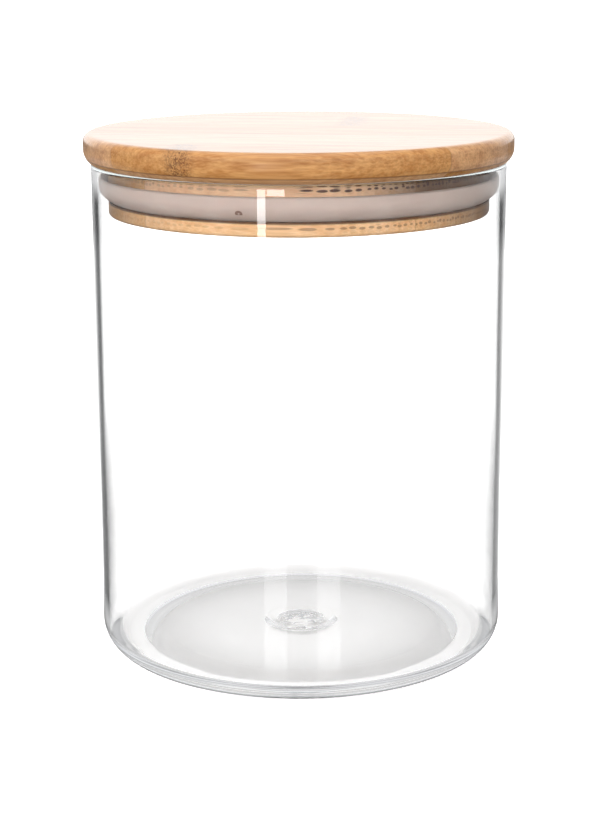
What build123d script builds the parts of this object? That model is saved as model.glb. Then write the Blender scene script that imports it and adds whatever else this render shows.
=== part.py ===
from build123d import *
import os

# A kitchen canister: a blown glass jar, closed by a turned bamboo lid with a silicone seal ring round its plug.
# Sizes are in millimetres. The origin is the middle of the base on the plane that the jar stands on, +Z is up,
# and the side that is looked at is -Y.

# Glass jar
jar_diameter = 100.8
jar_height = 122.2
wall_thickness = 1.45
floor_thickness = 3.9     # at the edge of the floor, over the stand ring
floor_rise = 0.8          # how far the middle of the floor rises above its edge
heel_radius = 7.2         # outside, where the wall turns into the base
inner_heel_radius = 2.4   # inside, where the wall turns into the floor
stand_ring_width = 3.2    # flat ring that the jar stands on, just inside the heel
shoulder_width = 6.0      # round shoulder from the stand ring up into the hollow of the base
shoulder_height = 1.8
base_hollow = 0.5         # how far the middle of the base rises above the shoulder
boss_radius = 8.9         # low boss in the middle of the floor, where the base was closed
boss_height = 0.5
boss_blend = 0.9          # half the width of the soft step round the boss
navel_radius = 6.0        # hollow under the boss, where the glass was cut off
navel_depth = 0.9

# Bamboo lid
lid_overhang = 1.8        # lid disc past the glass, all round
disc_thickness = 7.0
lid_seat_gap = 0.1        # between the disc's underside and the glass rim
top_edge_radius = 2.0
lower_edge_height = 3.2   # rounding under the disc's edge
lower_edge_inset = 1.6
plug_gap = 2.55           # between the plug and the inside of the glass
plug_depth = 12.4
plug_edge_radius = 0.9
flange_height = 3.6       # rim of the plug under the groove
groove_height = 4.1
groove_depth = 3.0
face_ply = 5.8            # thickness of the top and the bottom ply of the board
strip_count = 5           # bamboo strips side by side in each ply
edge_strip_width = 17.4   # what the turned disc leaves of the first and the last strip
grain_angle = -7.3        # degrees, from +X, seen from above

# Silicone seal ring
seal_fit = 0.1            # between the ring and the groove
lip_gap = 0.3             # between the lip and the glass
lip_height = 5.8          # top of the lip above the groove's floor
lip_thickness = 0.55      # at its tip
lip_bearing = 1.25        # height of the band that lies along the glass
lip_relief = 0.45         # open slit between the lip's foot and the flange
lip_foot_reach = 0.17     # lip's foot past the plug
lip_crotch_reach = 0.35   # bottom of the open wedge between lip and neck, past the plug

# Radii and heights that the pieces share
jar_radius = jar_diameter / 2
bore_radius = jar_radius - wall_thickness
lid_radius = jar_radius + lid_overhang
plug_radius = bore_radius - plug_gap
groove_radius = plug_radius - groove_depth
disc_bottom = jar_height + lid_seat_gap
lid_top = disc_bottom + disc_thickness
plug_bottom = disc_bottom - plug_depth
groove_bottom = plug_bottom + flange_height
groove_top = groove_bottom + groove_height


def turn(outline):
    """Turn a closed half outline, drawn as radius and height, once round the axis."""
    return revolve(Plane.XZ * make_face(outline), Axis.Z)


def dome_height(radius, rise, reach):
    """Height of a shallow dome at a radius. It rises so far in the middle and ends level at its reach."""
    curve = (reach**2 + rise**2) / (2 * rise)
    return rise - curve + (curve**2 - radius**2) ** 0.5


def dome_arc(level, rise, reach, outer, inner):
    """The part of such a dome between two radii, standing on a level."""
    middle = (outer + inner) / 2
    return ThreePointArc(*[(r, level + dome_height(r, rise, reach)) for r in (outer, middle, inner)])


def make_jar():
    """The glass body, with its hollow base, the boss in the middle of the floor and the navel under it."""
    stand_outer = jar_radius - heel_radius
    stand_inner = stand_outer - stand_ring_width
    shoulder_edge = stand_inner - shoulder_width
    floor_edge = bore_radius - inner_heel_radius
    rim_radius = wall_thickness / 2
    navel_edge = shoulder_height + dome_height(navel_radius, base_hollow, shoulder_edge)
    navel_top = navel_edge + navel_depth
    boss_foot = boss_radius + boss_blend
    boss_foot_level = floor_thickness + dome_height(boss_foot, floor_rise, floor_edge)
    boss_middle = boss_foot_level + boss_height / 2
    boss_top = boss_foot_level + boss_height
    outline = [
        TangentArc((0, navel_top), (navel_radius, navel_edge), tangent=(1, 0)),
        dome_arc(shoulder_height, base_hollow, shoulder_edge, shoulder_edge, navel_radius),
        TangentArc((shoulder_edge, shoulder_height), (stand_inner, 0), tangent=(1, 0)),
        Line((stand_inner, 0), (stand_outer, 0)),
        CenterArc((stand_outer, heel_radius), heel_radius, -90, 90),
        Line((jar_radius, heel_radius), (jar_radius, jar_height - rim_radius)),
        CenterArc((jar_radius - rim_radius, jar_height - rim_radius), rim_radius, 0, 180),
        Line((bore_radius, jar_height - rim_radius), (bore_radius, floor_thickness + inner_heel_radius)),
        CenterArc((floor_edge, floor_thickness + inner_heel_radius), inner_heel_radius, 0, -90),
        dome_arc(floor_thickness, floor_rise, floor_edge, floor_edge, boss_foot),
        TangentArc((boss_foot, boss_foot_level), (boss_radius, boss_middle), tangent=(-1, 0)),
        TangentArc((boss_radius - boss_blend, boss_top), (boss_radius, boss_middle), tangent=(1, 0)),
        Polyline((boss_radius - boss_blend, boss_top), (0, boss_top), (0, navel_top)),
    ]
    return turn(outline)


def make_lid_blank():
    """The whole lid as it is turned from the glued board: disc, neck, groove and flange."""
    side_bottom = disc_bottom + lower_edge_height
    outline = [
        Line((0, plug_bottom), (plug_radius - plug_edge_radius, plug_bottom)),
        CenterArc((plug_radius - plug_edge_radius, plug_bottom + plug_edge_radius), plug_edge_radius, -90, 90),
        Polyline(
            (plug_radius, plug_bottom + plug_edge_radius),
            (plug_radius, groove_bottom),
            (groove_radius, groove_bottom),
            (groove_radius, groove_top),
            (plug_radius, groove_top),
            (plug_radius, disc_bottom),
            (lid_radius - lower_edge_inset, disc_bottom),
        ),
        TangentArc((lid_radius, side_bottom), (lid_radius - lower_edge_inset, disc_bottom), tangent=(0, -1)),
        Line((lid_radius, side_bottom), (lid_radius, lid_top - top_edge_radius)),
        CenterArc((lid_radius - top_edge_radius, lid_top - top_edge_radius), top_edge_radius, 0, 90),
        Polyline((lid_radius - top_edge_radius, lid_top), (0, lid_top), (0, plug_bottom)),
    ]
    return turn(outline)


def strip_joints():
    """Where the glue joints lie across the board, from the front one to the back one."""
    front_joint = edge_strip_width - lid_radius
    strip_width = -2 * front_joint / (strip_count - 2)
    return [front_joint + strip_width * number for number in range(strip_count - 1)]


def make_strips(blank):
    """Cut the lid into the strips that its board was glued from, ply by ply and from front to back."""
    plies = {
        "lid_bottom_strip": (plug_bottom, plug_bottom + face_ply),
        "lid_core_strip": (plug_bottom + face_ply, lid_top - face_ply),
        "lid_top_strip": (lid_top - face_ply, lid_top),
    }
    board_half = lid_radius + edge_strip_width
    edges = [-board_half, *strip_joints(), board_half]
    strips = {}
    for name, (low, high) in plies.items():
        for number, (front, back) in enumerate(zip(edges, edges[1:]), start=1):
            place = Pos(0, (front + back) / 2, (low + high) / 2)
            strip = Rot(0, 0, grain_angle) * place * Box(2 * board_half, back - front, high - low)
            strips[f"{name}_{number}"] = blank & strip
    return strips


def make_seal():
    """The seal ring as it sits: a band in the groove, and the lip that the glass has bent upwards."""
    lip_radius = bore_radius - lip_gap
    lip_top = groove_bottom + lip_height
    bearing_bottom = lip_top - lip_thickness - lip_bearing
    band_inner = groove_radius + seal_fit
    band_top = groove_top - seal_fit
    foot_radius = plug_radius + lip_foot_reach
    foot_height = groove_bottom + lip_relief
    crotch_radius = plug_radius + lip_crotch_reach
    outline = [
        Polyline(
            (band_inner, groove_bottom),
            (plug_radius - lip_relief, groove_bottom),
            (foot_radius, foot_height),
        ),
        TangentArc((lip_radius, bearing_bottom), (foot_radius, foot_height), tangent=(0, -1)),
        Line((lip_radius, bearing_bottom), (lip_radius, lip_top - lip_thickness)),
        CenterArc((lip_radius - lip_thickness, lip_top - lip_thickness), lip_thickness, 0, 90),
        Polyline(
            (lip_radius - lip_thickness, lip_top),
            (crotch_radius, band_top - lip_relief),
            (plug_radius - lip_relief, band_top),
            (band_inner, band_top),
            (band_inner, groove_bottom),
        ),
    ]
    return turn(outline)


pieces = {"glass_jar": make_jar(), "seal_ring": make_seal(), **make_strips(make_lid_blank())}
os.makedirs("parts", exist_ok=True)
for node, piece in pieces.items():
    export_step(piece, f"parts/{node}.step")
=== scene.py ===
import bpy
from math import asin, cos, degrees, hypot, pi, radians, sin
from mathutils import Matrix, Vector


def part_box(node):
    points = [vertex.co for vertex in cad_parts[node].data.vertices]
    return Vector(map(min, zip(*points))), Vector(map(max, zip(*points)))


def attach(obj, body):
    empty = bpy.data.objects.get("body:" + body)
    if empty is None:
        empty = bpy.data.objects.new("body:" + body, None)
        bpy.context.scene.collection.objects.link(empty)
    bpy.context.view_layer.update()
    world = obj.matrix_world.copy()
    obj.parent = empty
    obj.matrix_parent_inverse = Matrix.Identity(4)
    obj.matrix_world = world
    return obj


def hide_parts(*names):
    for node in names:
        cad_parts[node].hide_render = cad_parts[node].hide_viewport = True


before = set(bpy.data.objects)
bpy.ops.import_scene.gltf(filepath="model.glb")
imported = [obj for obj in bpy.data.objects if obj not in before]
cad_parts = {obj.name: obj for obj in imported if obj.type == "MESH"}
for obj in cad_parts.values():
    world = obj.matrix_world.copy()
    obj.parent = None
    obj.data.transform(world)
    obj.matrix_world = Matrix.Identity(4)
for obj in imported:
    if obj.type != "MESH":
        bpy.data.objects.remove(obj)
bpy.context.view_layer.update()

# Glass jar
# The body is one piece of clear borosilicate glass: a thin straight wall, a polished rim and a round heel.
# The base was closed over a flame, which left a low boss on the floor and a rough hollow under it.
MM = 0.001
jar_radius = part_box("glass_jar")[1].x / MM
jar_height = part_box("glass_jar")[1].z / MM
wall = 1.45
bore_radius = jar_radius - wall
floor_thickness = 3.9
heel_radius = 7.2
inner_heel_radius = 2.4
stand_ring_width = 3.2
stand_outer = jar_radius - heel_radius
stand_inner = stand_outer - stand_ring_width
shoulder_width = 6.0
shoulder_height = 1.8
base_hollow = 0.5
floor_edge = bore_radius - inner_heel_radius
floor_rise = 0.8
boss_radius = 8.9
boss_height = 0.5
boss_blend = 0.9
navel_radius = 6.0
navel_depth = 0.9
rough_radius = 5.6
lump_size = 2.4
lump_height = 0.9
sharp_edge = radians(35)


def arc(centre, radius, start, end, steps=12):
    """Points along a round stretch, from one angle in degrees to another."""
    turns = [radians(start + (end - start) * number / steps) for number in range(steps + 1)]
    return [(centre[0] + radius * cos(turn), centre[1] + radius * sin(turn)) for turn in turns]


def dome(level, rise, reach, start, end, steps=32):
    """Points along a shallow dome, from one radius to another. It stands on a level and ends at its reach."""
    curve = (reach**2 + rise**2) / (2 * rise)
    radii = [start + (end - start) * number / steps for number in range(steps + 1)]
    return [(radius, level + rise - curve + (curve**2 - radius**2) ** 0.5) for radius in radii]


def turned(name, outline, steps=192):
    """Draw a half outline of radius and height in millimetres, point by point, and spin it round the axis.
    A straight run gets a point close to each end, which keeps it flat under smooth shading."""
    long_run = 1.5
    end_gap = 0.25
    path = outline[:1]
    for (radius, height), (next_radius, next_height) in zip(outline, outline[1:]):
        run = hypot(next_radius - radius, next_height - height)
        shares = (end_gap / run, 1 - end_gap / run, 1) if run > long_run else (1,)
        for share in shares:
            path.append((radius + share * (next_radius - radius), height + share * (next_height - height)))
    bpy.ops.object.select_all(action="DESELECT")
    bpy.ops.mesh.primitive_plane_add(size=MM)
    piece = bpy.context.object
    piece.name = name
    piece.data.name = name
    bpy.ops.object.mode_set(mode="EDIT")
    bpy.ops.mesh.merge(type="CENTER")
    bpy.ops.transform.translate(value=(path[0][0] * MM, 0, path[0][1] * MM))
    for (radius, height), (next_radius, next_height) in zip(path, path[1:]):
        step = ((next_radius - radius) * MM, 0, (next_height - height) * MM)
        bpy.ops.mesh.extrude_vertices_move(TRANSFORM_OT_translate={"value": step})
    bpy.ops.mesh.select_all(action="SELECT")
    bpy.ops.mesh.spin(steps=steps, angle=2 * pi, center=(0, 0, 0), axis=(0, 0, 1))
    bpy.ops.mesh.select_all(action="SELECT")
    bpy.ops.mesh.remove_doubles(threshold=MM / 1000)
    bpy.ops.mesh.normals_make_consistent(inside=False)
    bpy.ops.object.mode_set(mode="OBJECT")
    bpy.ops.object.shade_smooth_by_angle(angle=sharp_edge)
    return piece


shoulder_radius = (shoulder_width**2 + shoulder_height**2) / (2 * shoulder_height)
shoulder_turn = 90 - degrees(asin(shoulder_width / shoulder_radius))
shoulder_edge = stand_inner - shoulder_width
underside = dome(shoulder_height, base_hollow, shoulder_edge, navel_radius, shoulder_edge)
shoulder = arc((shoulder_edge, shoulder_height - shoulder_radius), shoulder_radius, 90, shoulder_turn, 16)
navel_level = underside[0][1]
navel = dome(navel_level, navel_depth, navel_radius, 0, navel_radius, 20)
heel = arc((stand_outer, heel_radius), heel_radius, -90, 0, 20)
rim = arc((jar_radius - wall / 2, jar_height - wall / 2), wall / 2, 0, 180, 16)
inner_heel = arc((floor_edge, floor_thickness + inner_heel_radius), inner_heel_radius, 0, -90, 20)
inner_floor = dome(floor_thickness, floor_rise, floor_edge, floor_edge, boss_radius + boss_blend)
boss_foot = inner_floor[-1][1]
boss_step = [
    (boss_radius + boss_blend * (1 - number / 4), boss_foot + boss_height * (1 - cos(pi * number / 8)) / 2)
    for number in range(1, 9)
]
jar_outline = navel + underside[1:] + shoulder[1:] + heel + rim + inner_heel + inner_floor[1:] + boss_step
jar_outline.append((0, boss_foot + boss_height))
jar = turned("jar_body", jar_outline, 256)
under_boss = navel_level + navel_depth + 0.1
rough_points = [
    vertex.index for vertex in jar.data.vertices
    if hypot(vertex.co.x, vertex.co.y) < rough_radius * MM and vertex.co.z < under_boss * MM
]
rough_spot = jar.vertex_groups.new(name="navel")
rough_spot.add(rough_points, 1.0, "ADD")
flame_lumps = bpy.data.textures.new("flame_lumps", "VORONOI")
flame_lumps.noise_scale = lump_size * MM
lumps = jar.modifiers.new("lumps", "DISPLACE")
lumps.texture = flame_lumps
lumps.texture_coords = "LOCAL"
lumps.vertex_group = "navel"
lumps.strength = lump_height * MM
bpy.ops.object.modifier_apply(modifier="lumps")


def linear(colour):
    """Turn an sRGB hex colour into the linear colour that a shader takes."""
    parts = [int(colour[place:place + 2], 16) / 255 for place in (1, 3, 5)]
    return [part / 12.92 if part <= 0.04045 else ((part + 0.055) / 1.055) ** 2.4 for part in parts] + [1.0]


def add(tree, kind, inputs=None, **settings):
    """Add a node with its settings, and fill its inputs with values or with the outputs of other nodes."""
    new = tree.nodes.new("ShaderNode" + kind)
    for setting, value in settings.items():
        setattr(new, setting, value)
    for key, value in (inputs or {}).items():
        socket = new.inputs[key] if isinstance(key, int) else None
        socket = socket or next(one for one in new.inputs if one.name == key and one.enabled)
        if isinstance(value, bpy.types.Node):
            value = next(one for one in value.outputs if one.enabled)
        if isinstance(value, bpy.types.NodeSocket):
            tree.links.new(value, socket)
        else:
            socket.default_value = value
    return new


def new_material(name):
    """Start a material, and give back its empty node tree with it."""
    material = bpy.data.materials.new(name)
    material.use_nodes = True
    material.node_tree.nodes.clear()
    return material, material.node_tree


# Borosilicate glass, blown and fire-polished: colourless and mirror smooth, with the slow waves of drawn
# glass and a grey-green tinge along the rim. Painted light: where a ray is still inside after four
# reflections, the glass glows white, as light does where it leaves the rim and the heel.
wave_length = 25
wave_depth = 0.02
glass, tree = new_material("borosilicate_glass_fire_polished")
place = add(tree, "TexCoord").outputs["Object"]
wave = add(tree, "TexNoise", {"Vector": place, "Scale": 1 / (wave_length * MM), "Detail": 0.0})
relief = add(tree, "Bump", {"Height": wave, "Strength": 1.0, "Distance": wave_depth * MM})
# Painted glow: none at the very base, weak low on the wall and at the boss, strongest near the rim.
reflections = add(tree, "LightPath").outputs["Glossy Depth"]
painted_glow = add(tree, "Math", {0: reflections, 1: 3.5}, operation="GREATER_THAN")
height = add(tree, "SeparateXYZ", {"Vector": place}).outputs["Z"]
escaping = add(tree, "MapRange", {
    "Value": height, "From Min": 1.0 * MM, "From Max": 4.0 * MM, "To Min": 0.0, "To Max": 0.5})
escaping = add(tree, "MapRange", {
    "Value": height, "From Min": (jar_height - 8) * MM, "From Max": (jar_height - 3) * MM,
    "To Min": escaping, "To Max": 1.0})
off_boss = add(tree, "VectorMath", {0: place}, operation="LENGTH").outputs["Value"]
off_boss = add(tree, "MapRange", {
    "Value": off_boss, "From Min": 8.0 * MM, "From Max": 11.0 * MM, "To Min": 0.05, "To Max": 1.0})
escaping = add(tree, "Math", {0: escaping, 1: off_boss}, operation="MULTIPLY")
painted_glow = add(tree, "Math", {0: painted_glow, 1: escaping}, operation="MULTIPLY")
at_rim = add(tree, "MapRange", {
    "Value": height, "From Min": (jar_height - wall / 2) * MM, "From Max": (jar_height - wall / 4) * MM})
tint = add(tree, "Mix", {
    "Factor": at_rim, "A": linear("#FFFFFF"), "B": linear("#B8C3BE")}, data_type="RGBA")
surface = add(tree, "BsdfPrincipled", {
    "Base Color": tint, "Roughness": 0.0, "IOR": 1.47, "Transmission Weight": 1.0, "Normal": relief,
    "Emission Color": linear("#F4F6F9"), "Emission Strength": painted_glow})
glass.cycles.emission_sampling = "NONE"
add(tree, "OutputMaterial", {"Surface": surface})
jar.data.materials.append(glass)
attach(jar, "jar")
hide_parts("glass_jar")

# Seal ring
# One ring of moulded silicone, stretched over the plug into its groove. It grips the glass by a thin lip,
# which the glass bends upwards.
groove_depth = 3.0
groove_height = 4.1
seal_fit = 0.1
lip_thickness = 0.55
lip_relief = 0.45
lip_bearing = 1.25
lip_foot_reach = 0.17
lip_crotch_reach = 0.35
groove_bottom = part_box("seal_ring")[0].z / MM
lip_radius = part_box("seal_ring")[1].x / MM
lip_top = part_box("seal_ring")[1].z / MM
plug_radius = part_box("lid_bottom_strip_3")[1].x / MM
groove_radius = plug_radius - groove_depth
groove_top = groove_bottom + groove_height
bearing_bottom = lip_top - lip_thickness - lip_bearing
foot_radius = plug_radius + lip_foot_reach
foot_height = groove_bottom + lip_relief
crotch_radius = plug_radius + lip_crotch_reach
lip_drop = bearing_bottom - foot_height
lip_reach = lip_radius - foot_radius
lip_curve = (lip_reach**2 + lip_drop**2) / (2 * lip_reach)
lip_face = []
for number in range(9):
    drop = lip_drop * (1 - number / 8)
    lip_face.append((lip_radius - lip_curve + (lip_curve**2 - drop**2) ** 0.5, bearing_bottom - drop))
seal_outline = [(groove_radius + seal_fit, groove_bottom), (plug_radius - lip_relief, groove_bottom)]
seal_outline += lip_face
seal_outline += arc((lip_radius - lip_thickness, lip_top - lip_thickness), lip_thickness, 0, 90, 8)
seal_outline += [
    (crotch_radius, groove_top - seal_fit - lip_relief),
    (plug_radius - lip_relief, groove_top - seal_fit),
    (groove_radius + seal_fit, groove_top - seal_fit),
    (groove_radius + seal_fit, groove_bottom),
]
seal = turned("silicone_seal", seal_outline)

# Moulded silicone: milky and satin, a little see-through at the thin edge of the lip, with the half-moon mark
# of the mould's gate on its front.
cloud_size = 6
thin_edge = 0.8
mark_radius = 0.9
mark_line = 0.2
gate_turn = radians(-106)
gate_height = groove_bottom + 1.6
gate = (lip_radius * cos(gate_turn) * MM, lip_radius * sin(gate_turn) * MM, gate_height * MM)
silicone, tree = new_material("silicone_milky_moulded")
place = add(tree, "TexCoord").outputs["Object"]
height = add(tree, "SeparateXYZ", {"Vector": place}).outputs["Z"]
cloud = add(tree, "TexNoise", {"Vector": place, "Scale": 1 / (cloud_size * MM), "Detail": 3.0})
tone = add(tree, "Mix", {
    "Factor": cloud, "A": linear("#C4B0A6"), "B": linear("#CEBCB1")}, data_type="RGBA")
thin = add(tree, "MapRange", {
    "Value": height, "From Min": (lip_top - thin_edge) * MM, "From Max": lip_top * MM,
    "To Min": 0.0, "To Max": 0.4})
from_gate = add(tree, "VectorMath", {0: place, 1: gate}, operation="DISTANCE").outputs["Value"]
ring = add(tree, "Math", {0: from_gate, 1: mark_radius * MM, 2: mark_line * MM}, operation="COMPARE")
upper = add(tree, "Math", {0: height, 1: gate_height * MM}, operation="GREATER_THAN")
mark = add(tree, "Math", {0: ring, 1: upper}, operation="MULTIPLY")
tone = add(tree, "Mix", {"Factor": mark, "A": tone, "B": linear("#8B6F63")}, data_type="RGBA")
satin = add(tree, "MapRange", {
    "Value": cloud, "From Min": 0.3, "From Max": 0.7, "To Min": 0.4, "To Max": 0.55})
surface = add(tree, "BsdfPrincipled", {
    "Base Color": tone, "Roughness": satin, "IOR": 1.41, "Transmission Weight": thin,
    "Subsurface Weight": 0.4, "Subsurface Radius": (1.0, 0.8, 0.7), "Subsurface Scale": 1.2 * MM})
add(tree, "OutputMaterial", {"Surface": surface})
seal.data.materials.append(silicone)
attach(seal, "lid")
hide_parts("seal_ring")

# Bamboo strips of the lid
# The lid is turned from a board of three plies, each of five bamboo strips glued edge to edge with one grain.
# The lathe cuts the groove for the seal and rounds the disc's edge, and the disc is oiled and burnished.
lid_seat_gap = 0.1
plug_edge = 0.9
top_edge = 2.0
lower_edge = 4.0
lower_edge_height = 3.2
underside_turn = -53.13
core_turn = -30
strip_count = 5
edge_strip_width = 17.4
grain_angle = radians(-7.3)
lid_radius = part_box("lid_top_strip_3")[1].x / MM
plug_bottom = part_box("lid_bottom_strip_3")[0].z / MM
core_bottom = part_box("lid_core_strip_3")[0].z / MM
core_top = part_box("lid_core_strip_3")[1].z / MM
lid_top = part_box("lid_top_strip_3")[1].z / MM
disc_bottom = jar_height + lid_seat_gap
side_bottom = disc_bottom + lower_edge_height
front_joint = edge_strip_width - lid_radius
strip_width = -2 * front_joint / (strip_count - 2)
joints = [front_joint + strip_width * number for number in range(strip_count - 1)]
across = Vector((-sin(grain_angle), cos(grain_angle), 0))


def strip_of(ply, name, number):
    """Copy a turned ply, and keep what lies between the glue joints in front of one strip and behind it."""
    bpy.ops.object.select_all(action="DESELECT")
    ply.select_set(True)
    bpy.context.view_layer.objects.active = ply
    bpy.ops.object.duplicate()
    strip = bpy.context.object
    strip.name = f"{name}_{number}"
    strip.data.name = strip.name
    bpy.ops.object.mode_set(mode="EDIT")
    sides = [(joints[number - 2], -across)] if number > 1 else []
    sides += [(joints[number - 1], across)] if number < strip_count else []
    for joint, outwards in sides:
        bpy.ops.mesh.select_all(action="SELECT")
        bpy.ops.mesh.bisect(
            plane_co=across * joint * MM, plane_no=outwards, use_fill=True, clear_outer=True)
    bpy.ops.mesh.select_all(action="SELECT")
    bpy.ops.mesh.normals_make_consistent(inside=False)
    bpy.ops.object.mode_set(mode="OBJECT")
    bpy.ops.object.shade_smooth_by_angle(angle=sharp_edge)
    return strip


lower_round = arc((lid_radius - lower_edge, side_bottom), lower_edge, underside_turn, core_turn, 4)
upper_round = arc((lid_radius - lower_edge, side_bottom), lower_edge, core_turn, 0, 6)
plies = {
    "lid_bottom_strip": [
        (0, plug_bottom),
        *arc((plug_radius - plug_edge, plug_bottom + plug_edge), plug_edge, -90, 0, 8),
        (plug_radius, groove_bottom),
        (groove_radius, groove_bottom),
        (groove_radius, core_bottom),
        (0, core_bottom),
    ],
    "lid_core_strip": [
        (0, core_bottom),
        (groove_radius, core_bottom),
        (groove_radius, groove_top),
        (plug_radius, groove_top),
        (plug_radius, disc_bottom),
        *lower_round,
        (0, core_top),
    ],
    "lid_top_strip": [
        (0, core_top),
        *upper_round,
        *arc((lid_radius - top_edge, lid_top - top_edge), top_edge, 0, 90, 12),
        (0, lid_top),
    ],
}


# Caramelised bamboo: long fibres in fine streaks and broad bands, cut across as dots. Oil and burnishing make
# the disc darker and give it a sheen, and the plug is left raw. Thin dark lines of glue show between strips,
# and a dark line runs where the two upper plies meet.
disc_tones = ("#B6783C", "#DCA364")
plug_tones = ("#E2AE7C", "#F5CC9E")
fibre_tone = "#4A1F0B"
joint_line_tone = "#70451F"


def bamboo(name, shift, value, node_at, dark_row, row_depth, end_shade_from, end_shade_depth):
    """Bamboo of one strip, with its own run of fibres and brightness. It may have a joint of the stem and a
    row of dark fibres. Painted shade darkens its raw wood towards the left end, and may darken it towards the
    right one."""
    material, tree = new_material(name)
    place = add(tree, "TexCoord").outputs["Object"]
    grain = add(tree, "Mapping", {"Vector": place, "Rotation": (0, 0, -grain_angle), "Scale": (1 / MM,) * 3})
    axes = add(tree, "SeparateXYZ", {"Vector": grain})
    along, beside, height = axes.outputs
    moved = add(tree, "VectorMath", {0: grain, 1: (shift, shift * 0.37, shift * 0.11)}, operation="ADD")
    # Fibres drift slowly across the grain, and swirl within 5 mm of the stem's joint.
    node_gap = add(tree, "Math", {0: along, 1: node_at}, operation="SUBTRACT")
    node_gap = add(tree, "Math", {0: node_gap}, operation="ABSOLUTE")
    near_node = add(tree, "MapRange", {
        "Value": node_gap, "From Min": 1.0, "From Max": 5.0, "To Min": 1.0, "To Max": 0.0},
        interpolation_type="SMOOTHSTEP")
    drift_cell = add(tree, "VectorMath", {0: moved, 1: (1 / 30, 1 / 9, 1 / 9)}, operation="MULTIPLY")
    drift = add(tree, "TexNoise", {"Vector": drift_cell, "Scale": 1.0, "Detail": 1.0})
    swirl = add(tree, "TexNoise", {"Vector": moved, "Scale": 1 / 2.5, "Detail": 2.0})
    sway = add(tree, "Mix", {
        "Factor": near_node, "A": drift.outputs["Color"], "B": swirl.outputs["Color"]}, data_type="RGBA")
    reach = add(tree, "MapRange", {"Value": near_node, "To Min": 0.8, "To Max": 3.0})
    sway = add(tree, "VectorMath", {0: sway, 1: (0.5, 0.5, 0.5)}, operation="SUBTRACT")
    sway = add(tree, "VectorMath", {0: sway, "Scale": reach}, operation="SCALE")
    fibres = add(tree, "VectorMath", {0: moved, 1: sway}, operation="ADD")
    # Fibres 0.4 mm thick, strands 1.2 mm thick and bands 4 mm thick
    fine_cell = add(tree, "VectorMath", {0: fibres, 1: (1 / 20, 1 / 0.4, 1 / 0.4)}, operation="MULTIPLY")
    fine = add(tree, "TexNoise", {"Vector": fine_cell, "Scale": 1.0, "Detail": 2.0, "Roughness": 0.6})
    strand_cell = add(tree, "VectorMath", {0: fibres, 1: (1 / 14, 1 / 1.2, 1 / 1.2)}, operation="MULTIPLY")
    strand = add(tree, "TexNoise", {"Vector": strand_cell, "Scale": 1.0, "Detail": 1.0})
    band_cell = add(tree, "VectorMath", {0: fibres, 1: (1 / 50, 1 / 4, 1 / 4)}, operation="MULTIPLY")
    band = add(tree, "TexNoise", {"Vector": band_cell, "Scale": 1.0, "Detail": 1.0})
    streak = add(tree, "Math", {0: fine, 1: 0.4, 2: 0.0}, operation="MULTIPLY_ADD")
    streak = add(tree, "Math", {0: strand, 1: 0.35, 2: streak}, operation="MULTIPLY_ADD")
    streak = add(tree, "Math", {0: band, 1: 0.25, 2: streak}, operation="MULTIPLY_ADD")
    streak = add(tree, "MapRange", {"Value": streak, "From Min": 0.38, "From Max": 0.62})
    oiled = add(tree, "MapRange", {
        "Value": height, "From Min": disc_bottom - 0.05, "From Max": disc_bottom + 0.05})
    shade = add(tree, "Mix", {
        "Factor": oiled, "A": linear(plug_tones[0]), "B": linear(disc_tones[0])}, data_type="RGBA")
    light = add(tree, "Mix", {
        "Factor": oiled, "A": linear(plug_tones[1]), "B": linear(disc_tones[1])}, data_type="RGBA")
    tone = add(tree, "Mix", {"Factor": streak, "A": shade, "B": light}, data_type="RGBA")
    # Fibre bundles 0.9 mm apart, of unequal size. One row of the strip is darker, more so on the right.
    row_gap = add(tree, "Math", {0: height, 1: dark_row}, operation="SUBTRACT")
    sides = add(tree, "SeparateXYZ", {"Vector": fibres})
    section = add(tree, "CombineXYZ", {"X": sides.outputs["Y"], "Y": row_gap})
    section = add(tree, "Mapping", {"Vector": section, "Scale": (1 / 0.9,) * 3, "Location": (0, 0.2, 0)})
    bundle = add(tree, "TexVoronoi", {
        "Vector": section, "Scale": 1.0, "Randomness": 0.4}, voronoi_dimensions="2D")
    unequal = add(tree, "SeparateXYZ", {"Vector": bundle.outputs["Color"]}).outputs["X"]
    edge = add(tree, "Math", {0: unequal, 1: 0.15, 2: bundle.outputs["Distance"]}, operation="MULTIPLY_ADD")
    dot = add(tree, "MapRange", {
        "Value": edge, "From Min": 0.33, "From Max": 0.48, "To Min": 1.0, "To Max": 0.0},
        interpolation_type="SMOOTHSTEP")
    row_gap = add(tree, "Math", {0: row_gap}, operation="ABSOLUTE")
    row = add(tree, "MapRange", {
        "Value": row_gap, "From Min": 0.4, "From Max": 0.6, "To Min": row_depth, "To Max": 0.1},
        interpolation_type="SMOOTHSTEP")
    patchy = add(tree, "MapRange", {
        "Value": along, "From Min": -8.0, "From Max": 4.0, "To Min": 0.3, "To Max": 1.0})
    row = add(tree, "Math", {0: row, 1: patchy}, operation="MULTIPLY")
    ruddy = add(tree, "Math", {0: row, 1: 0.12}, operation="MULTIPLY")
    tone = add(tree, "Mix", {"Factor": ruddy, "A": tone, "B": linear("#B4713F")}, data_type="RGBA")
    dark = add(tree, "Math", {0: row, 1: dot}, operation="MULTIPLY")
    tone = add(tree, "Mix", {"Factor": dark, "A": tone, "B": linear(fibre_tone)}, data_type="RGBA")
    # Brown specks of skin at the stem's joint
    speck = add(tree, "TexNoise", {"Vector": moved, "Scale": 1 / 0.9, "Detail": 3.0, "Distortion": 2.0})
    speck = add(tree, "MapRange", {
        "Value": speck, "From Min": 0.42, "From Max": 0.62, "To Min": 0.1, "To Max": 0.75})
    skin = add(tree, "Math", {0: near_node, 1: speck}, operation="MULTIPLY")
    tone = add(tree, "Mix", {"Factor": skin, "A": tone, "B": linear(fibre_tone)}, data_type="RGBA")
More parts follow.
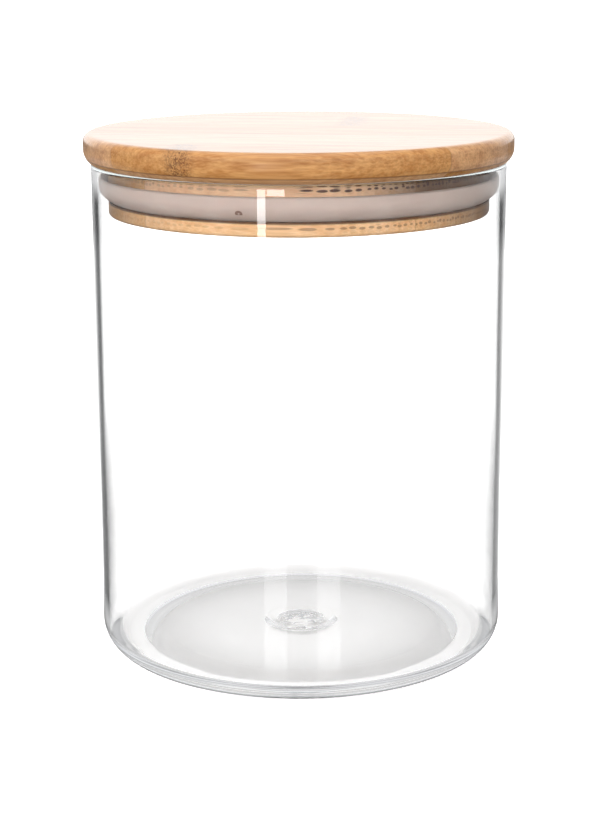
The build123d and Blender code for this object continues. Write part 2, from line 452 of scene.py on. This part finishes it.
    # Painted shade on the raw wood: darker towards its ends, and along the upper edge of the flange in the
    # slit under the seal
    raw = add(tree, "Math", {0: 1.0, 1: oiled}, operation="SUBTRACT")
    left_end_shade = add(tree, "MapRange", {
        "Value": along, "From Min": -22.0, "From Max": -46.0, "To Min": 0.0, "To Max": 0.6})
    right_end_shade = add(tree, "MapRange", {
        "Value": along, "From Min": end_shade_from, "From Max": end_shade_from + 15, "To Min": 0.0, "To Max": end_shade_depth})
    painted_shade = add(tree, "Math", {0: left_end_shade, 1: right_end_shade}, operation="MAXIMUM")
    # Painted shade: the slit under the seal, dark along the upper edge of the flange.
    slit_shade = add(tree, "Math", {0: height, 1: groove_bottom}, operation="SUBTRACT")
    slit_shade = add(tree, "Math", {0: slit_shade}, operation="ABSOLUTE")
    slit_shade = add(tree, "MapRange", {
        "Value": slit_shade, "From Min": 0.4, "From Max": 0.75, "To Min": 0.95, "To Max": 0.0})
    painted_shade = add(tree, "Math", {0: painted_shade, 1: slit_shade}, operation="MAXIMUM")
    painted_shade = add(tree, "Math", {0: painted_shade, 1: raw}, operation="MULTIPLY")
    tone = add(tree, "Mix", {"Factor": painted_shade, "A": tone, "B": linear("#57371F")}, data_type="RGBA")
    # Glue lines 0.2 mm wide between strips, and a dark line 0.3 mm wide where the two upper plies meet
    joint_gap = add(tree, "Math", {0: beside, 1: front_joint}, operation="SUBTRACT")
    joint_gap = add(tree, "Math", {0: joint_gap, 1: strip_width / 2}, operation="PINGPONG")
    joint_lines = add(tree, "MapRange", {
        "Value": joint_gap, "From Min": 0.05, "From Max": 0.15, "To Min": 0.25, "To Max": 0.0})
    ply_gap = add(tree, "Math", {0: height, 1: core_top}, operation="SUBTRACT")
    ply_gap = add(tree, "Math", {0: ply_gap}, operation="ABSOLUTE")
    ply_line = add(tree, "MapRange", {
        "Value": ply_gap, "From Min": 0.08, "From Max": 0.24, "To Min": 0.6, "To Max": 0.0})
    joint_lines = add(tree, "Math", {0: joint_lines, 1: ply_line}, operation="MAXIMUM")
    tone = add(tree, "Mix", {"Factor": joint_lines, "A": tone, "B": linear(joint_line_tone)}, data_type="RGBA")
    tone = add(tree, "HueSaturation", {"Color": tone, "Saturation": 2 - value, "Value": value})
    relief = add(tree, "Math", {0: dot, 1: -0.5, 2: fine}, operation="MULTIPLY_ADD")
    relief = add(tree, "Bump", {"Height": relief, "Strength": 0.6, "Distance": 0.05 * MM})
    sheen = add(tree, "MapRange", {
        "Value": fine, "From Min": 0.3, "From Max": 0.7, "To Min": 0.5, "To Max": 0.36})
    polish = add(tree, "MapRange", {
        "Value": height, "From Min": core_top + 0.5, "From Max": lid_top - top_edge})
    surface = add(tree, "BsdfPrincipled", {
        "Base Color": tone, "Roughness": sheen, "Normal": relief, "Specular IOR Level": 0.35,
        "Coat Weight": polish, "Coat Roughness": 0.2})
    add(tree, "OutputMaterial", {"Surface": surface})
    return material


# For each ply: the height of its row of dark fibres and how dark that is, and where along the grain the
# painted shade on its raw wood starts on the right and how dark it gets
fibre_rows_and_end_shade = {
    "lid_bottom_strip": (111.9, 0.5, 32.0, 0.8),
    "lid_core_strip": (120.4, 0.95, 18.0, 0.85),
    "lid_top_strip": (0.0, 0.12, 0.0, 0.0),
}
# Brightness of each strip, from front to back
values = {
    "lid_bottom_strip": (0.96, 0.92, 0.9, 0.96, 0.88),
    "lid_core_strip": (1.1, 0.9, 0.95, 0.9, 0.97),
    "lid_top_strip": (1.0, 1.1, 0.96, 1.04, 0.98),
}
# Where a joint of the stem crosses a strip, along the grain. On the other strips it lies far off the lid.
nodes_at = {"lid_top_strip_1": -21.0, "lid_top_strip_4": 11.0}
off_lid = 300.0
ply_shift = 40
strip_shift = 97
for ply_number, (name, outline) in enumerate(plies.items()):
    ply = turned(name, outline)
    for number in range(1, strip_count + 1):
        node_name = f"{name}_{number}"
        shift = ply_shift * ply_number + strip_shift * number
        node_at = nodes_at.get(node_name, off_lid)
        wood = bamboo("bamboo_" + node_name, shift, values[name][number - 1], node_at, *fibre_rows_and_end_shade[name])
        strip = strip_of(ply, "bamboo_" + name, number)
        strip.data.materials.append(wood)
        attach(strip, "lid")
        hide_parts(node_name)
    bpy.data.objects.remove(ply)

# Light table and studio
# The jar stands on a white table that is lit from below, with soft white all round it. The table can be seen
# through from below.
bpy.ops.object.select_all(action="DESELECT")
bpy.ops.mesh.primitive_plane_add(size=12)
table = bpy.context.object
table.name = "light_table"
table.location.z = 0.01 * MM


def studio_level(tree, seen, mirrored, inside_glass, lighting):
    """Brightness of the white surroundings: as seen, in outer reflections, by way of reflections inside the
    glass, and as light on matt surfaces."""
    path = add(tree, "LightPath")
    through = add(tree, "Math", {0: path.outputs["Transmission Depth"], 1: 0.5}, operation="GREATER_THAN")
    glossy = add(tree, "Math", {0: path.outputs["Glossy Depth"], 1: 0.5}, operation="GREATER_THAN")
    matt = add(tree, "Math", {0: path.outputs["Diffuse Depth"], 1: 0.5}, operation="GREATER_THAN")
    level = add(tree, "Mix", {"Factor": through, "A": mirrored, "B": inside_glass})
    level = add(tree, "Mix", {"Factor": glossy, "A": seen, "B": level})
    boost = add(tree, "Math", {0: through, 1: 0.8, 2: 1.0}, operation="MULTIPLY_ADD")
    lit = add(tree, "Math", {0: boost, 1: lighting}, operation="MULTIPLY")
    return add(tree, "Mix", {"Factor": matt, "A": level, "B": lit})


# Opal acrylic, lit: plain white, with a soft grey disc where the base shades it
opal, tree = new_material("opal_acrylic_lit")
spot = add(tree, "TexCoord").outputs["Object"]
from_axis = add(tree, "VectorMath", {0: spot}, operation="LENGTH").outputs["Value"]
shaded = add(tree, "VectorMath", {0: spot, 1: (0, 5 * MM, 0)}, operation="DISTANCE").outputs["Value"]
shaded = add(tree, "MapRange", {
    "Value": shaded, "From Min": 18 * MM, "From Max": 45 * MM, "To Min": 0.68, "To Max": 0.34},
    interpolation_type="SMOOTHSTEP")
# Painted shade: a darker ring on the table under the navel.
under_navel = add(tree, "VectorMath", {0: spot, 1: (0, 3 * MM, 0)}, operation="DISTANCE").outputs["Value"]
under_navel = add(tree, "Math", {0: under_navel, 1: navel_radius * MM}, operation="SUBTRACT")
under_navel = add(tree, "Math", {0: under_navel}, operation="ABSOLUTE")
under_navel = add(tree, "MapRange", {
    "Value": under_navel, "From Min": 0.5 * MM, "From Max": 2.5 * MM, "To Min": 0.4, "To Max": 1.0},
    interpolation_type="SMOOTHSTEP")
shaded = add(tree, "Math", {0: shaded, 1: under_navel}, operation="MULTIPLY")
open_table = add(tree, "Math", {0: from_axis, 1: stand_inner * MM}, operation="GREATER_THAN")
# Painted shade: the table is a little greyer under the heel and just past it.
under_heel = add(tree, "MapRange", {
    "Value": from_axis, "From Min": (stand_outer + 2) * MM, "From Max": (stand_outer + 5) * MM,
    "To Min": 0.7, "To Max": 0.85})
seen = add(tree, "Mix", {"Factor": open_table, "A": shaded, "B": under_heel})
# Outer reflections find the table bright behind the jar but for a dark stripe on each side, and dim in front
# of it but for two bright stripes.
axes = add(tree, "SeparateXYZ", {"Vector": spot})
across_table = add(tree, "Math", {0: axes.outputs["X"]}, operation="ABSOLUTE")
beside = add(tree, "Math", {0: across_table, 1: jar_radius * MM}, operation="SUBTRACT")
spread = add(tree, "Math", {0: beside, 1: axes.outputs["Y"]}, operation="DIVIDE")
on_right = add(tree, "Math", {0: axes.outputs["X"], 1: 0.0}, operation="GREATER_THAN")
dark_stripe = add(tree, "Mix", {"Factor": on_right, "A": 0.26, "B": 0.62})
near_edge = add(tree, "MapRange", {
    "Value": spread, "From Min": 0.25, "From Max": 0.45, "To Min": 1.0, "To Max": dark_stripe})
off_edge = add(tree, "MapRange", {
    "Value": spread, "From Min": 0.6, "From Max": 0.9, "To Min": dark_stripe, "To Max": 1.4})
glare = add(tree, "Math", {0: near_edge, 1: off_edge}, operation="MAXIMUM")
close = add(tree, "MapRange", {
    "Value": from_axis, "From Min": 160 * MM, "From Max": 280 * MM, "To Min": 1.0, "To Max": 0.0})
near_glare = add(tree, "MapRange", {
    "Value": spread, "From Min": 0.32, "From Max": 0.46, "To Min": 1.4, "To Max": dark_stripe})
glare = add(tree, "Mix", {"Factor": close, "A": glare, "B": near_glare})
past_side = add(tree, "MapRange", {
    "Value": spread, "From Min": 1.2, "From Max": 2.5, "To Min": 1.4, "To Max": 0.2})
glare = add(tree, "Math", {0: glare, 1: past_side}, operation="MINIMUM")
far = add(tree, "MapRange", {
    "Value": from_axis, "From Min": 620 * MM, "From Max": 740 * MM, "To Min": 1.0, "To Max": 0.1})
glare = add(tree, "Math", {0: glare, 1: far}, operation="MULTIPLY")
past_focus = add(tree, "Math", {0: axes.outputs["Y"], 1: jar_radius / 2 * MM}, operation="ADD")
slant = add(tree, "Math", {0: axes.outputs["X"], 1: past_focus}, operation="DIVIDE")
left_stripe = add(tree, "Math", {0: slant, 1: 0.25, 2: 0.115}, operation="COMPARE")
right_stripe = add(tree, "Math", {0: slant, 1: -0.275, 2: 0.12}, operation="COMPARE")
stripes = add(tree, "Math", {0: left_stripe, 1: right_stripe}, operation="ADD")
short = add(tree, "MapRange", {
    "Value": from_axis, "From Min": 200 * MM, "From Max": 320 * MM, "To Min": 1.0, "To Max": 0.0})
stripes = add(tree, "Math", {0: stripes, 1: short}, operation="MULTIPLY")
stripes = add(tree, "Math", {0: stripes, 1: 2.4, 2: 0.2}, operation="MULTIPLY_ADD")
behind = add(tree, "Math", {0: axes.outputs["Y"], 1: 0.0}, operation="GREATER_THAN")
glare = add(tree, "Mix", {"Factor": behind, "A": stripes, "B": glare})
# Painted shade: outer reflections find the table dark close round the foot.
off_foot = add(tree, "MapRange", {"Value": from_axis, "From Min": 58 * MM, "From Max": 80 * MM})
glare = add(tree, "Math", {0: glare, 1: off_foot}, operation="MULTIPLY")
# Reflections inside the glass find it bright under the jar and round its heel, and dim in stripes where the
# wall sends them. The stripes are alike on all four sides.
along_table = add(tree, "Math", {0: axes.outputs["Y"]}, operation="ABSOLUTE")
deep = add(tree, "Math", {0: across_table, 1: along_table}, operation="MAXIMUM")
aside = add(tree, "Math", {0: across_table, 1: along_table}, operation="MINIMUM")
aside = add(tree, "Math", {0: aside, 1: jar_radius * MM}, operation="SUBTRACT")
spread = add(tree, "Math", {0: aside, 1: deep}, operation="DIVIDE")
near_edge = add(tree, "MapRange", {
    "Value": spread, "From Min": 0.3, "From Max": 0.38, "To Min": 0.6, "To Max": 0.0})
off_edge = add(tree, "MapRange", {
    "Value": spread, "From Min": 0.55, "From Max": 0.85, "To Min": 0.0, "To Max": 0.9})
inside = add(tree, "Math", {0: near_edge, 1: off_edge}, operation="MAXIMUM")
inside = add(tree, "Mix", {"Factor": close, "A": inside, "B": 0.0})
rim_rays = add(tree, "MapRange", {
    "Value": from_axis, "From Min": 850 * MM, "From Max": 950 * MM, "To Min": 0.0, "To Max": 0.9})
inside = add(tree, "Math", {0: inside, 1: rim_rays}, operation="MAXIMUM")
at_heel = add(tree, "MapRange", {
    "Value": from_axis, "From Min": 60 * MM, "From Max": 72 * MM, "To Min": 0.75, "To Max": 0.0})
inside = add(tree, "Math", {0: at_heel, 1: inside}, operation="MAXIMUM")
at_foot = add(tree, "MapRange", {
    "Value": from_axis, "From Min": 100 * MM, "From Max": 130 * MM, "To Min": 0.85, "To Max": 0.0})
in_front = add(tree, "Math", {0: 1.0, 1: behind}, operation="SUBTRACT")
at_foot = add(tree, "Math", {0: at_foot, 1: in_front}, operation="MULTIPLY")
inside = add(tree, "Math", {0: inside, 1: at_foot}, operation="MAXIMUM")
under_jar = add(tree, "MapRange", {
    "Value": from_axis, "From Min": (jar_radius - 2) * MM, "From Max": (jar_radius - 1) * MM,
    "To Min": 0.75, "To Max": 0.0})
inside = add(tree, "Math", {0: inside, 1: under_jar}, operation="MAXIMUM")
glow = add(tree, "Emission", {"Strength": studio_level(tree, seen, glare, inside, 0.05)})
matt = add(tree, "BsdfDiffuse", {"Color": studio_level(tree, 0.8, 0.1, 0.0, 0.2)})
surface = add(tree, "AddShader", {0: glow, 1: matt})
below = add(tree, "NewGeometry").outputs["Backfacing"]
surface = add(tree, "MixShader", {0: below, 1: surface, 2: add(tree, "BsdfTransparent")})
add(tree, "OutputMaterial", {"Surface": surface})
table.data.materials.append(opal)

# The white all round is dimmer overhead, and it lights the lid most from in front to the left.
world = bpy.data.worlds.new("white_studio")
bpy.context.scene.world = world
world.use_nodes = True
tree = world.node_tree
tree.nodes.clear()
towards = add(tree, "TexCoord").outputs["Generated"]
bearing = add(tree, "SeparateXYZ", {"Vector": towards})
dim = add(tree, "MapRange", {
    "Value": bearing.outputs["Z"], "From Min": 0.3, "From Max": 0.6, "To Min": 0.75, "To Max": 0.3})
dim = add(tree, "MapRange", {
    "Value": bearing.outputs["Y"], "From Min": 0.2, "From Max": 0.5, "To Min": dim, "To Max": 0.9})
mirrored = add(tree, "MapRange", {
    "Value": bearing.outputs["Y"], "From Min": 0.6, "From Max": 0.9, "To Min": 0.4, "To Max": 1.75})
sharp = add(tree, "LightPath").outputs["Is Singular Ray"]
mirrored = add(tree, "Mix", {"Factor": sharp, "A": mirrored, "B": 0.4})
front = add(tree, "VectorMath", {0: towards, 1: (-0.25, -0.91, 0.33)}, operation="DOT_PRODUCT")
front = add(tree, "MapRange", {
    "Value": front.outputs["Value"], "From Min": 0.1, "From Max": 1.0, "To Min": 0.25, "To Max": 3.2})
ceiling = add(tree, "MapRange", {
    "Value": bearing.outputs["Z"], "From Min": 0.35, "From Max": 0.6, "To Min": 1.5, "To Max": 0.3})
sky = add(tree, "Background", {"Strength": studio_level(tree, ceiling, mirrored, dim, front)})
add(tree, "OutputWorld", {"Surface": sky})


def area_light(name, place, target, width, height, level):
    """A soft box that faces a point, of so much brightness on its face."""
    data = bpy.data.lights.new(name, "AREA")
    data.shape = "RECTANGLE"
    data.size = width
    data.size_y = height
    data.energy = level * pi * width * height
    lamp = bpy.data.objects.new(name, data)
    bpy.context.scene.collection.objects.link(lamp)
    lamp.location = place
    lamp.rotation_euler = (Vector(target) - Vector(place)).to_track_quat("-Z", "Y").to_euler()
    lamp.visible_camera = False
    return lamp


lid_middle = (0, 0, 0.12)
overhead = area_light("overhead_softbox", (0, 0.1, 1.1), lid_middle, 0.9, 0.9, 0.8)
# A window in front to the left, seen only as a glint on the glass
window_distance = 0.5
window_level = 13
for name, turn, height, width, tall in (("window_pane", -19.0, 53, 38, 26), ("window_top", -11.7, 63, 77, 5)):
    place = Vector((sin(radians(turn)), -cos(radians(turn)), 0)) * window_distance
    place.z = height * MM
    window = area_light(name, place, (0, 0, place.z), width * MM, tall * MM, window_level)
    window.visible_diffuse = False
    window.visible_transmission = False

# The camera stands where the photo was taken from, a little above the lid and looking down.
camera_distance = 486.77
camera_height = 177.33
camera_tilt = 0.2373
camera_roll = -0.0050
camera_data = bpy.data.cameras.new("camera")
camera_data.lens = 87.86
camera_data.sensor_width = 36.0
camera = bpy.data.objects.new("camera", camera_data)
bpy.context.scene.collection.objects.link(camera)
camera.location = (0, -camera_distance * MM, camera_height * MM)
tilt = Matrix.Rotation(pi / 2 - camera_tilt, 3, "X")
camera.rotation_euler = (tilt @ Matrix.Rotation(camera_roll, 3, "Z")).to_euler()
bpy.context.scene.camera = camera
bpy.context.scene.view_settings.view_transform = "Standard"
